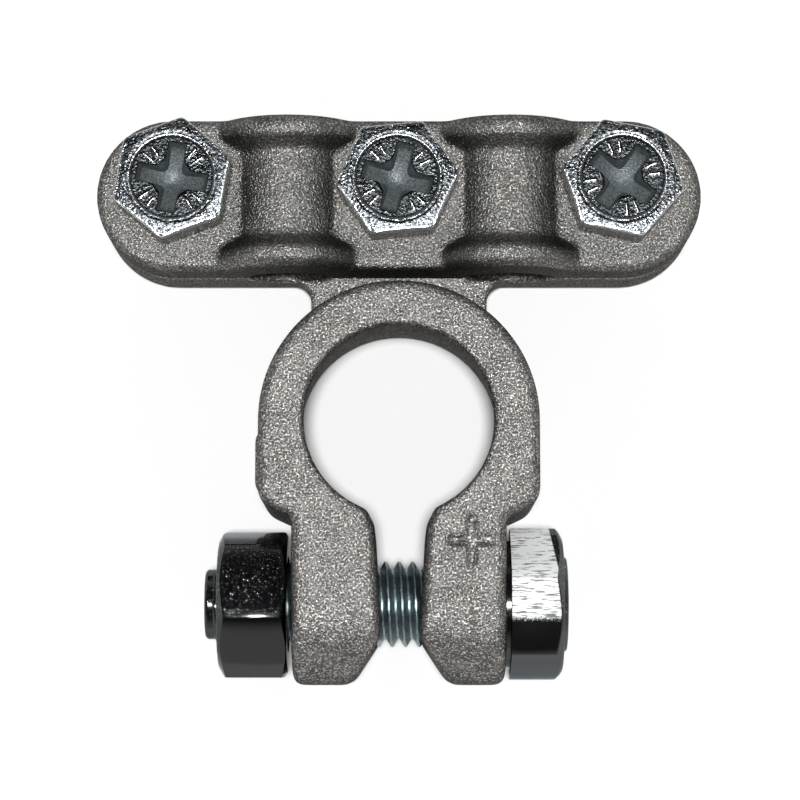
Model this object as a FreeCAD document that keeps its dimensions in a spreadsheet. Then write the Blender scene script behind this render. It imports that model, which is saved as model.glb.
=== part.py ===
"""Battery terminal clamp: a split tapered ring with a two-cable clamping bar.

Millimetres and degrees. +Z is the battery post's axis, +X runs along the cable bar, and the
pinch lugs point to -Y. The origin is on the post's axis, in the plane that the clamp lies on.
"""
import FreeCAD
import Part
import Sketcher
import os
import re

# Driving dimensions: name, value, meaning
SIZES = [
    # tapered bore for the post, wider towards the battery
    ("post_top_diameter", 17.5, "bore across its narrow upper land"),
    ("post_taper", 9.0, "bore widens by 1 on diameter in this height"),
    ("post_land_height", 1.5, "straight land at the narrow end of the bore"),
    ("post_lead_chamfer", 0.8, "lead-in at the wide end of the bore"),
    # split ring
    ("ring_wall", 4.2, "ring wall at the narrow end"),
    ("shoulder_to_bolt", 7.6, "where the shoulder meets the lug, to the bolt's axis"),
    ("shoulder_slope", 1.4, "outer corner of the shoulder above where it meets the lug"),
    ("shoulder_round", 2.2, "outer corner of the shoulder"),
    ("casting_round", 1.0, "outer edges of ring and lugs"),
    # lugs and slot
    ("lug_span", 19.7, "across the outer faces of both lugs"),
    ("bolt_setback", 7.85, "edge of the bore to the pinch bolt's axis"),
    ("lug_end_sweep", 120.0, "round end of a lug, from the top, before its flat foot"),
    ("slot_root_width", 4.7, "slot beside the bore"),
    ("slot_waist_width", 3.5, "slot where the lugs come closest"),
    ("slot_shift", 0.15, "slot's centre line, right of the bore's centre"),
    ("slot_waist_past_bolt", 3.1, "closest point of the lugs, beyond the bolt's axis"),
    ("slot_mouth_width", 8.8, "opening between the ends of the lugs"),
    ("slot_root_flare", 1.0, "slanted corner between bore and slot"),
    ("slot_waist_round", 2.5, "where the lugs turn away from each other"),
    ("slot_edge_bevel", 0.6, "upper edges of the slot and of the lugs' inner ends"),
    ("bolt_hole_clearance", 0.3, "pinch bolt in its lug holes, on radius"),
    # cable bar and the web that carries it
    ("ring_gap", 1.45, "ring to the front of the bar"),
    ("bar_thickness", 5.8, "lower bar, up to the parting plane"),
    ("bar_length", 56.8, "bar and plate over their round ends"),
    ("bar_width", 14.4, "bar and plate across, also twice their end radius"),
    ("bar_bevel", 0.5, "lower edges of the bar"),
    ("web_width", 16.7, "web between ring and bar"),
    ("web_lift", 1.4, "underside of the web above the bottom"),
    ("web_hollow", 2.0, "corner between web and bar"),
    # cable tunnels: a shallow trough in the bar under a higher one in the plate
    ("cable_pitch", 20.9, "between the two tunnels"),
    ("tunnel_width", 8.4, "tunnel at the parting plane"),
    ("tunnel_rise", 2.8, "tunnel above the parting plane, in the plate"),
    ("tunnel_sink", 2.0, "tunnel below the parting plane, in the bar"),
    # clamp plate with its arches
    ("plate_thickness", 5.0, "flat of the plate"),
    ("plate_bevel", 0.5, "upper edges of the plate"),
    ("arch_radius", 6.65, "outside of an arch, round the tunnel's line on the parting plane"),
    ("arch_lip_rise", 1.5, "lip above the middle of the arch"),
    ("arch_lip_bevel", 0.75, "outer edge of a lip"),
    ("arch_lip_width", 1.9, "plate's edge to the inner end of the lip's crest"),
    ("arch_lip_slope", 1.2, "lip's inner slope, along the tunnel"),
    # three cable screws
    ("screw_diameter", 6.0, "thread over its crests"),
    ("screw_length", 10.0, "under the head"),
    ("screw_end_distance", 7.55, "outer screws to the ends of the bar"),
    ("screw_row_shift", -0.15, "middle screw, right of the bore's centre"),
    ("screw_row_offset", 0.85, "screws behind the middle of the bar"),
    ("screw_head_flats", 10.0, "head across flats"),
    ("screw_head_height", 4.2, "head"),
    ("screw_tip_chamfer", 0.6, "tip of a screw"),
    ("screw_hole_clearance", 0.3, "screw in the plate, on radius"),
    ("screw_thread_clearance", 0.05, "screw in the bar's thread, on radius"),
    ("recess_span", 6.4, "cross recess across its wings"),
    ("recess_wing", 1.5, "width of a wing"),
    ("recess_depth", 2.4, "cross recess"),
    ("screw_face_diameter", 10.9, "flat top of the head inside its bevel"),
    ("dish_diameter", 7.6, "round dish in the top of the head"),
    ("dish_depth", 0.35, "dish"),
    ("head_left_turn", 20.5, "corner of the left head from +X"),
    ("head_centre_turn", 5.5, "corner of the middle head from +X"),
    ("head_right_turn", 48.5, "corner of the right head from +X"),
    ("recess_left_turn", -10.0, "wing of the left recess from +X"),
    ("recess_centre_turn", -15.0, "wing of the middle recess from +X"),
    ("recess_right_turn", -37.0, "wing of the right recess from +X"),
    # pinch bolt and nut
    ("bolt_diameter", 7.97, "thread over its crests"),
    ("bolt_tip_chamfer", 0.5, "tip of the bolt"),
    ("bolt_tip_beyond_nut", 1.25, "tip of the bolt past the nut"),
    ("bolt_flats", 13.0, "head and nut across flats"),
    ("bolt_head_height", 4.9, "hexagon of the head"),
    ("bolt_head_turn", -13.0, "corner of the head from -Y"),
    ("bolt_end_diameter", 12.35, "flat end of the head inside its bevel"),
    ("bolt_face_diameter", 11.8, "washer face under the head"),
    ("bolt_face_height", 0.4, "washer face"),
    ("bolt_disc_diameter", 8.9, "raised round on the head"),
    ("bolt_disc_height", 0.45, "raised round"),
    ("nut_height", 6.4, "nut"),
    ("nut_turn", 17.3, "corner of the nut from -Y"),
    ("nut_gap", 0.45, "nut off the left lug, as it is screwed on"),
    ("nut_outer_bevel", 1.2, "bevel of the nut's outer end, on radius"),
    ("nut_inner_bevel", 0.7, "bevel of the nut's inner end, on radius"),
    ("nut_thread_clearance", 0.06, "bolt in the nut, on radius"),
    ("head_bevel_angle", 30.0, "bevel round a head, from its flat"),
    # lump left where the metal ran into the mould
    ("gate_start", 0.5, "bore's centre to the lump on the left flank"),
    ("gate_length", 5.7, "lump along the flank"),
    ("gate_proud", 0.5, "lump stands out of the flank"),
    ("gate_height", 9.0, "lump above the bottom"),
]

# Sizes that follow from others, worked out in the same sheet
DERIVED = [
    ("casting_height", "bolt_flats / cos(30)", "ring and lugs, so that the nut's corners stay within"),
    ("bolt_height", "casting_height / 2", "pinch bolt's axis above the bottom"),
    ("ring_radius", "post_top_diameter / 2 + ring_wall", "outside of the ring"),
    ("bolt_distance", "post_top_diameter / 2 + bolt_setback", "bore's centre to the bolt's axis"),
    ("shoulder_reach", "bolt_distance - shoulder_to_bolt", "bore's centre to the shoulder's foot"),
    ("flank_length", "shoulder_reach - shoulder_slope", "straight flank beside the bore"),
    ("slot_waist_reach", "bolt_distance + slot_waist_past_bolt", "bore's centre to the slot's waist"),
    ("bar_front", "ring_radius + ring_gap", "bore's centre to the front of the bar"),
    ("bar_end_pitch", "bar_length - bar_width", "between the centres of the round ends"),
    ("screw_pitch", "bar_length / 2 - screw_end_distance", "between two screws"),
    ("bar_centre", "bar_front + bar_width / 2", "bore's centre to the middle of the bar"),
    ("screw_row", "bar_centre + screw_row_offset", "bore's centre to the row of screws"),
    ("plate_top", "bar_thickness + plate_thickness", "flat of the plate above the bottom"),
    ("nut_face", "lug_span / 2 + nut_gap", "nut's inner face from the middle"),
    ("bolt_reach", "nut_face + nut_height + bolt_tip_beyond_nut", "tip of the bolt from the middle"),
    ("head_face", "lug_span / 2 + bolt_face_height", "hexagon of the head from the middle"),
]

# How far a cut runs past the solid that it cuts
OVERRUN = 0.5
# places closer than this count as one when edges are looked up
NEAR = 0.01

NAMES = [row[0] for row in SIZES + DERIVED]
ALIASES = re.compile(r"\b(" + "|".join(NAMES) + r")\b")

doc = FreeCAD.newDocument("battery_terminal_clamp")
sheet = doc.addObject("Spreadsheet::Sheet", "Sizes")
FORMULAS = [(name, f"={formula}", meaning) for name, formula, meaning in DERIVED]
for row, (name, value, meaning) in enumerate(SIZES + FORMULAS, start=1):
    sheet.set(f"A{row}", name)
    sheet.set(f"B{row}", str(value))
    sheet.set(f"C{row}", meaning)
    sheet.setAlias(f"B{row}", name)
doc.recompute()


def cells(expression):
    """The expression with every size read from the sheet."""
    return ALIASES.sub(r"Sizes.\1", str(expression))


def number(expression):
    """What an expression of sizes comes to now."""
    result = sheet.evalExpression(cells(expression))
    return float(getattr(result, "Value", result))


def bind(feature, **properties):
    """Tie properties of a feature to expressions of the sheet."""
    for prop, expression in properties.items():
        feature.setExpression(prop, cells(expression))


def new_body(label):
    body = doc.addObject("PartDesign::Body", label)
    body.Label = label
    return body


def place(body, x="0", y="0", z="0"):
    for axis, expression in zip("xyz", (x, y, z)):
        body.setExpression(f"Placement.Base.{axis}", cells(expression))


# Sketches


def new_sketch(body, name, plane, along="0"):
    """Empty sketch on one of the body's origin planes, moved along the plane's normal."""
    sketch = body.newObject("Sketcher::SketchObject", name)
    support = next(item for item in body.Origin.OriginFeatures if item.Role == plane)
    sketch.AttachmentSupport = (support, [""])
    sketch.MapMode = "FlatFace"
    sketch.setExpression("AttachmentOffset.Base.z", cells(along))
    return sketch


def pin_point(sketch, geometry, position, x=None, y=None):
    """Hold one point of the sketch at expressions of the sheet."""
    for kind, expression in (("DistanceX", x), ("DistanceY", y)):
        if expression is None:
            continue
        label = f"{kind[-1].lower()}_{geometry}_{position}"
        rule = Sketcher.Constraint(kind, -1, 1, geometry, position, number(expression))
        index = sketch.addConstraint(rule)
        sketch.renameConstraint(index, label)
        sketch.setExpression(f"Constraints.{label}", cells(expression))


def hold_radius(sketch, geometry, radius):
    index = sketch.addConstraint(Sketcher.Constraint("Radius", geometry, number(radius)))
    label = f"radius_{geometry}"
    sketch.renameConstraint(index, label)
    sketch.setExpression(f"Constraints.{label}", cells(radius))


def point(x, y):
    return FreeCAD.Vector(number(x), number(y), 0)


def add_line(sketch, start, end):
    return sketch.addGeometry(Part.LineSegment(point(*start), point(*end)))


def add_arc(sketch, centre, radius, start, end):
    """Arc round a centre, from one angle to another, counter-clockwise."""
    circle = Part.Circle(point(*centre), FreeCAD.Vector(0, 0, 1), number(radius))
    first, last = (FreeCAD.Units.Quantity(f"{angle} deg").getValueAs("rad") for angle in (start, end))
    return sketch.addGeometry(Part.ArcOfCircle(circle, float(first), float(last)))


def join(sketch, first, second):
    sketch.addConstraint(Sketcher.Constraint("Coincident", first, 2, second, 1))


def polygon(body, name, plane, corners, along="0"):
    """Closed outline with straight sides; each corner is a pair of expressions."""
    sketch = new_sketch(body, name, plane, along)
    count = len(corners)
    sides = [add_line(sketch, corners[i], corners[(i + 1) % count]) for i in range(count)]
    for i, side in enumerate(sides):
        join(sketch, side, sides[(i + 1) % count])
        pin_point(sketch, side, 1, *corners[i])
    return sketch


def circles(body, name, plane, centres, radius, along="0"):
    sketch = new_sketch(body, name, plane, along)
    for centre in centres:
        circle = Part.Circle(point(*centre), FreeCAD.Vector(0, 0, 1), number(radius))
        index = sketch.addGeometry(circle)
        pin_point(sketch, index, 3, *centre)
        hold_radius(sketch, index, radius)
    return sketch


def hexagon(body, name, plane, flats, turn, along="0"):
    """Six-sided outline, the first corner turned from the sketch's x axis."""
    corner = f"({flats}) / 2 / cos(30)"
    angles = [f"({turn} + {60 * k})" for k in range(6)]
    corners = [(f"{corner} * cos{angle}", f"{corner} * sin{angle}") for angle in angles]
    return polygon(body, name, plane, corners, along)


def stadium(body, name, plane, centre_y, half_pitch, radius, along="0"):
    """Two round ends joined by straight sides along x."""
    sketch = new_sketch(body, name, plane, along)
    top, low = f"({centre_y} + {radius})", f"({centre_y} - {radius})"
    left, right = f"-({half_pitch})", f"({half_pitch})"
    front = add_line(sketch, (left, low), (right, low))
    right_end = add_arc(sketch, (right, centre_y), radius, -90, 90)
    back = add_line(sketch, (right, top), (left, top))
    left_end = add_arc(sketch, (left, centre_y), radius, 90, 270)
    ring = [front, right_end, back, left_end]
    for i, piece in enumerate(ring):
        follower = ring[(i + 1) % 4]
        sketch.addConstraint(Sketcher.Constraint("Tangent", piece, 2, follower, 1))
    sketch.addConstraint(Sketcher.Constraint("Equal", right_end, left_end))
    pin_point(sketch, right_end, 3, right, centre_y)
    pin_point(sketch, left_end, 3, left, centre_y)
    hold_radius(sketch, right_end, radius)
    return sketch


# Features


def solid_feature(body, kind, name, sketch, **properties):
    feature = body.newObject(f"PartDesign::{kind}", name)
    feature.Profile = sketch
    bind(feature, **properties)
    sketch.Visibility = False
    return feature


def pad(body, name, sketch, length, both_ways=False, reverse=False):
    feature = solid_feature(body, "Pad", name, sketch, Length=length)
    feature.Midplane = both_ways
    feature.Reversed = reverse
    doc.recompute()
    return feature


def cut(body, name, sketch, length, both_ways=False, reverse=False):
    """Pocket that is checked to have taken something away."""
    before = body.Shape.Volume
    feature = solid_feature(body, "Pocket", name, sketch, Length=length)
    feature.Midplane = both_ways
    feature.Reversed = reverse
    doc.recompute()
    check_smaller(body, before, name)
    return feature


def turned_cut(body, name, sketch, axis):
    """Groove all the way round one of the sketch's axes."""
    before = body.Shape.Volume
    feature = body.newObject("PartDesign::Groove", name)
    feature.Profile = sketch
    feature.ReferenceAxis = (sketch, [axis])
    feature.Angle = 360
    sketch.Visibility = False
    doc.recompute()
    check_smaller(body, before, name)
    return feature


def check_smaller(body, before, name):
    if body.Shape.Volume >= before - 1e-6:
        raise RuntimeError(f"{name} cut nothing")


def dress_edges(body, kind, name, wanted, **sizes):
    """Fillet or Chamfer on the edges of the body for which wanted(edge) holds."""
    base = body.Tip
    names = [f"Edge{i}" for i, edge in enumerate(base.Shape.Edges, start=1) if wanted(edge)]
    if not names:
        raise RuntimeError(f"{name} finds no edge")
    feature = body.newObject(f"PartDesign::{kind}", name)
    feature.Base = (base, names)
    bind(feature, **sizes)
    doc.recompute()
    return feature


def round_edges(body, name, radius, wanted):
    return dress_edges(body, "Fillet", name, wanted, Radius=radius)


def bevel_edges(body, name, size, wanted):
    return dress_edges(body, "Chamfer", name, wanted, Size=size)


def is_line(edge):
    return isinstance(edge.Curve, (Part.Line, Part.LineSegment))


def upright_at(edge, spots, near=0.05):
    """True for an upright edge that stands over one of the spots (x, y)."""
    box = edge.BoundBox
    if box.ZLength < 1.0:
        return False
    x, y = (box.XMin + box.XMax) / 2, (box.YMin + box.YMax) / 2
    return any(abs(x - sx) < near and abs(y - sy) < near for sx, sy in spots)


def level_at(edge, height, near=0.01):
    box = edge.BoundBox
    return box.ZLength < near and abs(box.ZMin - height) < near


# The casting


def casting_block(body):
    """Ring with flanks and shoulders, and the lugs with their round ends.

    It starts lower than the underside by the outer rounding and is then cut flat, so that the
    upper edges and the lugs' ends are round and the lower edges sharp, as at a mould's parting.
    """
    low = "-casting_round"
    sketch = new_sketch(body, "ring_outline", "XY_Plane", along=low)
    right, left = "ring_radius", "-ring_radius"
    flank, shoulder = "-flank_length", "-shoulder_reach"
    inner, outer = "-lug_span / 2", "lug_span / 2"
    root = "-(shoulder_reach + 2 * casting_round)"
    rim = add_arc(sketch, ("0", "0"), "ring_radius", 0, 180)
    path = [(left, "0"), (left, flank), (inner, shoulder), (inner, root),
            (outer, root), (outer, shoulder), (right, flank), (right, "0")]
    sides = [add_line(sketch, path[i], path[i + 1]) for i in range(len(path) - 1)]
    join(sketch, rim, sides[0])
    for first, second in zip(sides, sides[1:]):
        join(sketch, first, second)
    join(sketch, sides[-1], rim)
    sketch.addConstraint(Sketcher.Constraint("Coincident", rim, 3, -1, 1))
    hold_radius(sketch, rim, "ring_radius")
    pin_point(sketch, rim, 1, y="0")
    pin_point(sketch, rim, 2, y="0")
    for i, corner in enumerate(path[1:-1], start=1):
        pin_point(sketch, sides[i], 1, *corner)
    pad(body, "ring", sketch, "casting_height + casting_round")

    profile = new_sketch(body, "lug_profile", "YZ_Plane")
    axis, inside = "-bolt_distance", "-(shoulder_reach + casting_round)"
    turn = "(90 + lug_end_sweep)"
    end_y = f"({axis} + bolt_height * cos{turn})"
    end_z = f"(bolt_height + bolt_height * sin{turn})"
    foot_y = f"({end_y} + ({end_z} + casting_round) * tan{turn})"
    top = add_line(profile, (inside, "casting_height"), (axis, "casting_height"))
    end = add_arc(profile, (axis, "bolt_height"), "bolt_height", 90, number(turn))
    slope = add_line(profile, (end_y, end_z), (foot_y, low))
    foot = add_line(profile, (foot_y, low), (inside, low))
    close = add_line(profile, (inside, low), (inside, "casting_height"))
    profile.addConstraint(Sketcher.Constraint("Tangent", top, 2, end, 1))
    for first, second in ((end, slope), (slope, foot), (foot, close), (close, top)):
        join(profile, first, second)
    profile.addConstraint(Sketcher.Constraint("Horizontal", top))
    pin_point(profile, end, 3, axis, "bolt_height")
    pin_point(profile, end, 2, x=end_y)
    pin_point(profile, slope, 2, foot_y, low)
    pin_point(profile, foot, 2, inside, low)
    pin_point(profile, top, 1, inside)
    pad(body, "lugs", profile, "lug_span", both_ways=True)

    flank_spots = [(sign * number("ring_radius"), number(flank)) for sign in (-1, 1)]
    round_edges(body, "shoulder_rounds", "shoulder_round", lambda e: upright_at(e, flank_spots))

    side = number("lug_span / 2")

    def outer_edge(edge):
        box = edge.BoundBox
        on_top = level_at(edge, number("casting_height"))
        lug_end = box.XLength < 0.01 and abs(abs(box.XMin) - side) < 0.01 and box.ZLength > 1.0
        across = is_line(edge) and box.YLength < NEAR
        return (on_top or lug_end and box.YMax < -number("shoulder_reach")) and not across

    round_edges(body, "outer_rounds", "casting_round", outer_edge)
    reach = "(bolt_distance + casting_height)"
    under = polygon(body, "underside_outline", "XY_Plane", [
        (f"-{reach}", f"-{reach}"), (reach, f"-{reach}"), (reach, reach), (f"-{reach}", reach),
    ])
    cut(body, "flat_underside", under, "casting_round * 2")


def casting_bar(body):
    """Web behind the ring, and the bar that the plate clamps on."""
    half = "web_width / 2"
    near, far = "ring_radius / 3", "bar_front + bar_width / 4"
    web = polygon(body, "web_outline", "XY_Plane", [
        (f"-{half}", near), (half, near), (half, far), (f"-{half}", far),
    ], along="web_lift")
    pad(body, "web", web, "bar_thickness - web_lift")
    bar = stadium(body, "bar_outline", "XY_Plane", "bar_centre", "bar_end_pitch / 2", "bar_width / 2")
    pad(body, "bar", bar, "bar_thickness")
    spots = [(sign * number(half), number("bar_front")) for sign in (-1, 1)]
    round_edges(body, "web_hollows", "web_hollow", lambda e: upright_at(e, spots))
    front = number("bar_front") - 0.01
    bevel_edges(body, "bar_bevels", "bar_bevel",
                lambda e: level_at(e, 0) and e.BoundBox.YMin > front)


def casting_gate(body):
    """Lump on the left flank where the metal ran in."""
    wall, face = "-ring_radius", "-(ring_radius + gate_proud)"
    inside = "-(ring_radius - gate_proud)"
    first, last = "-gate_start", "-(gate_start + gate_length)"
    lump = polygon(body, "gate_outline", "XY_Plane", [
        (inside, first), (wall, first), (face, f"{first} - gate_proud"),
        (face, f"{last} + gate_proud"), (wall, last), (inside, last),
    ])
    pad(body, "gate", lump, "gate_height")


def casting_slot(body):
    """Slot between the lugs, closest beside the bolt and wide at the lugs' ends."""
    past_end = "-(bolt_distance + casting_height)"
    end = "-(bolt_distance + casting_height / 2)"
    # straight from the waist through the mouth's width at the ends of the lugs, and on past them
    spread = "(slot_mouth_width - slot_waist_width)"
    run = "(casting_height / 2 - slot_waist_past_bolt)"
    past_width = f"(slot_mouth_width + {spread} * casting_height / 2 / {run})"
    bore = "post_top_diameter / 2"
    stations = [("(slot_root_width + 2 * slot_root_flare)", f"-({bore} - slot_root_flare)"),
                ("slot_root_width", f"-({bore} + slot_root_flare)"),
                ("slot_waist_width", "-slot_waist_reach"), (past_width, past_end)]
    left = [(f"(slot_shift - {width} / 2)", y) for width, y in stations]
    right = [(f"(slot_shift + {width} / 2)", y) for width, y in reversed(stations)]
    slot = polygon(body, "slot_outline", "XY_Plane", left + right)
    cut(body, "slot", slot, "casting_height", reverse=True)

    waist = number("slot_waist_width / 2")
    waists = [(number("slot_shift") + sign * waist, -number("slot_waist_reach")) for sign in (-1, 1)]
    round_edges(body, "slot_waist_rounds", "slot_waist_round", lambda e: upright_at(e, waists))


def casting_bore(body):
    """Tapered bore for the post, with a straight land on top and a lead-in below."""
    land = "(casting_height - post_land_height)"
    lead_radius = f"(post_top_diameter / 2 + ({land} - post_lead_chamfer) / post_taper / 2)"
    top_radius, past_top = "post_top_diameter / 2", "(casting_height + post_land_height)"
    bore = polygon(body, "bore_profile", "XZ_Plane", [
        ("0", "-post_lead_chamfer"), (f"({lead_radius} + 2 * post_lead_chamfer)", "-post_lead_chamfer"),
        (lead_radius, "post_lead_chamfer"), (top_radius, land), (top_radius, past_top), ("0", past_top),
    ])
    turned_cut(body, "tapered_bore", bore, "V_Axis")


def casting_slot_edges(body):
    """Bevelled upper edges of the slot, from the bore to the ends of the lugs."""
    top, mouth = number("casting_height"), number("slot_mouth_width / 2 + casting_round")

    def upper_edge(edge):
        box = edge.BoundBox
        inside = max(abs(box.XMin), abs(box.XMax)) < mouth
        across = is_line(edge) and box.YLength < NEAR
        return inside and abs(box.ZMax - top) < 0.01 and box.YMax < 0 and not across

    bevel_edges(body, "slot_edge_bevels", "slot_edge_bevel", upper_edge)


def casting_holes(body):
    """Lug holes, tapped bar holes and the lower halves of the cable tunnels."""
    bolt = circles(body, "bolt_hole_outline", "YZ_Plane", [("-bolt_distance", "bolt_height")],
                   "(bolt_diameter / 2 + bolt_hole_clearance)")
    cut(body, "bolt_holes", bolt, "lug_span + casting_round", both_ways=True)
    tapped = circles(body, "screw_hole_outline", "XY_Plane", screw_centres(),
                     "(screw_diameter / 2 + screw_thread_clearance)")
    cut(body, "screw_holes", tapped, "bar_thickness", reverse=True)
    cut(body, "cable_troughs", troughs(body, "trough_outline", "tunnel_sink", "-"), "bar_width")


def screw_centres():
    return [(f"(screw_row_shift + {k} * screw_pitch)", "screw_row") for k in (-1, 0, 1)]


def troughs(body, name, depth, side):
    """Round bottomed troughs of both tunnels, above (+) or below (-) the parting plane."""
    radius = f"((tunnel_width / 2) ^ 2 + {depth} ^ 2) / (2 * {depth})"
    height = f"(bar_thickness {side} ({depth} - {radius}))"
    centres = [(f"{sign}cable_pitch / 2", height) for sign in ("-", "")]
    return circles(body, name, "XZ_Plane", centres, radius, along="-bar_front")


def build_casting():
    body = new_body("terminal_casting")
    casting_block(body)
    casting_gate(body)
    casting_bar(body)
    casting_slot(body)
    casting_bore(body)
    casting_slot_edges(body)
    casting_holes(body)
    return body


# The clamp plate


def arch(body, name, side):
    """Arch over one tunnel: a half turn of its lengthwise profile about the tunnel's line."""
    sketch = new_sketch(body, f"{name}_profile", "XY_Plane", along="bar_thickness")
    axis = f"{side}cable_pitch / 2"
    crest = "(arch_radius + arch_lip_rise)"
    half = [(f"({crest} - arch_lip_bevel)", "0"), (crest, "arch_lip_bevel"),
            (crest, "arch_lip_width"), ("arch_radius", "(arch_lip_width + arch_lip_slope)")]
    front = [(f"({axis} + {r})", f"(bar_front + {depth})") for r, depth in half]
    back = [(f"({axis} + {r})", f"(bar_front + bar_width - {depth})") for r, depth in reversed(half)]
    corners = [(axis, "bar_front")] + front + back + [(axis, "bar_front + bar_width")]
    sides = [add_line(sketch, corners[i - 1], corners[i]) for i in range(len(corners))]
    for i, corner in enumerate(corners):
        join(sketch, sides[i], sides[(i + 1) % len(sides)])
        pin_point(sketch, sides[i], 2, *corner)
    feature = body.newObject("PartDesign::Revolution", name)
    feature.Profile = sketch
    feature.ReferenceAxis = (sketch, ["Edge1"])
    feature.Angle = 180
    sketch.Visibility = False
    doc.recompute()
    return feature


def build_plate():
    body = new_body("cable_clamp_plate")
    flat = stadium(body, "plate_outline", "XY_Plane", "bar_centre", "bar_end_pitch / 2",
                   "bar_width / 2", along="bar_thickness")
    pad(body, "plate", flat, "plate_thickness")
    bevel_edges(body, "plate_bevels", "plate_bevel", lambda e: level_at(e, number("plate_top")))
    arch(body, "left_arch", "-")
    arch(body, "right_arch", "")
    cut(body, "cable_tunnels", troughs(body, "tunnel_outline", "tunnel_rise", "+"), "bar_width")
    holes = circles(body, "clearance_hole_outline", "XY_Plane", screw_centres(),
                    "(screw_diameter / 2 + screw_hole_clearance)", along="bar_thickness")
    cut(body, "clearance_holes", holes, "plate_thickness", reverse=True)
    return body


# Screws, bolt and nut


def head_bevel(body, plane, flats, face, end, side):
    """Cone that bevels a hexagon's end; side is + where the head lies before the end."""
    rim = f"({flats} / 2 / cos(30) + {OVERRUN})"
    drop = f"({rim} - {face} / 2) * tan(head_bevel_angle)"
    corners = [(f"{face} / 2", end), (rim, end), (rim, f"{end} - {side}{drop}")]
    if plane == "H_Axis":
        corners = [(y, x) for x, y in corners]
    outline = polygon(body, "head_bevel", "XZ_Plane", corners)
    turned_cut(body, "bevelled_head", outline, plane)


def screw(label, position, head_turn, recess_turn):
    """Hex head screw pointing down, its body's origin under the head."""
    body = new_body(label)
    shank = circles(body, "shank_outline", "XY_Plane", [("0", "0")], "screw_diameter / 2")
    pad(body, "shank", shank, "screw_length", reverse=True)
    tip = polygon(body, "tip_bevel", "XZ_Plane", [
        ("screw_diameter / 2 - screw_tip_chamfer", "-screw_length"),
        ("screw_diameter / 2", "-screw_length"),
        ("screw_diameter / 2", "-screw_length + screw_tip_chamfer"),
    ])
    turned_cut(body, "tip_chamfer", tip, "V_Axis")
    head = hexagon(body, "head_outline", "XY_Plane", "screw_head_flats", head_turn)
    pad(body, "head", head, "screw_head_height")
    head_bevel(body, "V_Axis", "screw_head_flats", "screw_face_diameter", "screw_head_height", "")
    dish = circles(body, "dish_outline", "XY_Plane", [("0", "0")], "dish_diameter / 2",
                   along="screw_head_height")
    cut(body, "dish", dish, "dish_depth")
    for name, turn in (("first_wing", recess_turn), ("second_wing", f"({recess_turn} + 90)")):
        corners = []
        for along, across in ((-1, -1), (1, -1), (1, 1), (-1, 1)):
            u, v = f"{along} * recess_span / 2", f"{across} * recess_wing / 2"
            corners.append((f"({u}) * cos({turn}) - ({v}) * sin({turn})",
                            f"({u}) * sin({turn}) + ({v}) * cos({turn})"))
        wing = polygon(body, f"{name}_outline", "XY_Plane", corners, along="screw_head_height")
        cut(body, name, wing, "recess_depth")
    place(body, position[0], position[1], "plate_top")
    return body


def build_bolt():
    body = new_body("pinch_bolt")
    shank = circles(body, "shank_outline", "YZ_Plane", [("0", "0")], "bolt_diameter / 2",
                    along="-bolt_reach")
    pad(body, "shank", shank, "bolt_reach + head_face")
    tip = polygon(body, "tip_bevel", "XZ_Plane", [
        ("-bolt_reach", "bolt_diameter / 2 - bolt_tip_chamfer"),
        ("-bolt_reach", "bolt_diameter / 2"),
        ("-bolt_reach + bolt_tip_chamfer", "bolt_diameter / 2"),
    ])
    turned_cut(body, "tip_chamfer", tip, "H_Axis")
    face = circles(body, "washer_face_outline", "YZ_Plane", [("0", "0")], "bolt_face_diameter / 2",
                   along="lug_span / 2")
    pad(body, "washer_face", face, "bolt_face_height")
    head = hexagon(body, "head_outline", "YZ_Plane", "bolt_flats", "180 - bolt_head_turn",
                   along="head_face")
    pad(body, "head", head, "bolt_head_height")
    end = "(head_face + bolt_head_height)"
    head_bevel(body, "H_Axis", "bolt_flats", "bolt_end_diameter", end, "")
    disc = circles(body, "disc_outline", "YZ_Plane", [("0", "0")], "bolt_disc_diameter / 2", along=end)
    pad(body, "raised_disc", disc, "bolt_disc_height")
    place(body, "0", "-bolt_distance", "bolt_height")
    return body


def build_nut():
    body = new_body("pinch_nut")
    outline = hexagon(body, "nut_outline", "YZ_Plane", "bolt_flats", "180 - nut_turn",
                      along="-nut_face")
    pad(body, "nut", outline, "nut_height", reverse=True)
    corner = "(bolt_flats / 2 / cos(30))"
    rim = f"{corner} + {OVERRUN}"
    for name, end, bevel, way in (("outer", "-(nut_face + nut_height)", "nut_outer_bevel", "+"),
                                  ("inner", "-nut_face", "nut_inner_bevel", "-")):
        cone = polygon(body, f"{name}_bevel", "XZ_Plane", [
            (end, f"{corner} - {bevel}"), (f"{end} {way} ({bevel} + {OVERRUN})", rim), (end, rim),
        ])
        turned_cut(body, f"{name}_chamfer", cone, "H_Axis")
    thread = circles(body, "thread_outline", "YZ_Plane", [("0", "0")],
                     "bolt_diameter / 2 + nut_thread_clearance", along="-nut_face")
    cut(body, "thread", thread, "nut_height")
    place(body, "0", "-bolt_distance", "bolt_height")
    return body


# Building, checking and writing

left_spot, centre_spot, right_spot = screw_centres()
pieces = [
    build_casting(),
    build_plate(),
    screw("cable_screw_left", left_spot, "head_left_turn", "recess_left_turn"),
    screw("cable_screw_centre", centre_spot, "head_centre_turn", "recess_centre_turn"),
    screw("cable_screw_right", right_spot, "head_right_turn", "recess_right_turn"),
    build_bolt(),
    build_nut(),
]
doc.recompute()

for thing in doc.Objects:
    if "Invalid" in thing.State or "Error" in thing.State:
        raise RuntimeError(f"{thing.Label} is {thing.State}")
for piece in pieces:
    if piece.Shape.isNull() or not piece.Shape.isValid() or len(piece.Shape.Solids) != 1:
        raise RuntimeError(f"{piece.Label} is not one valid solid")

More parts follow.
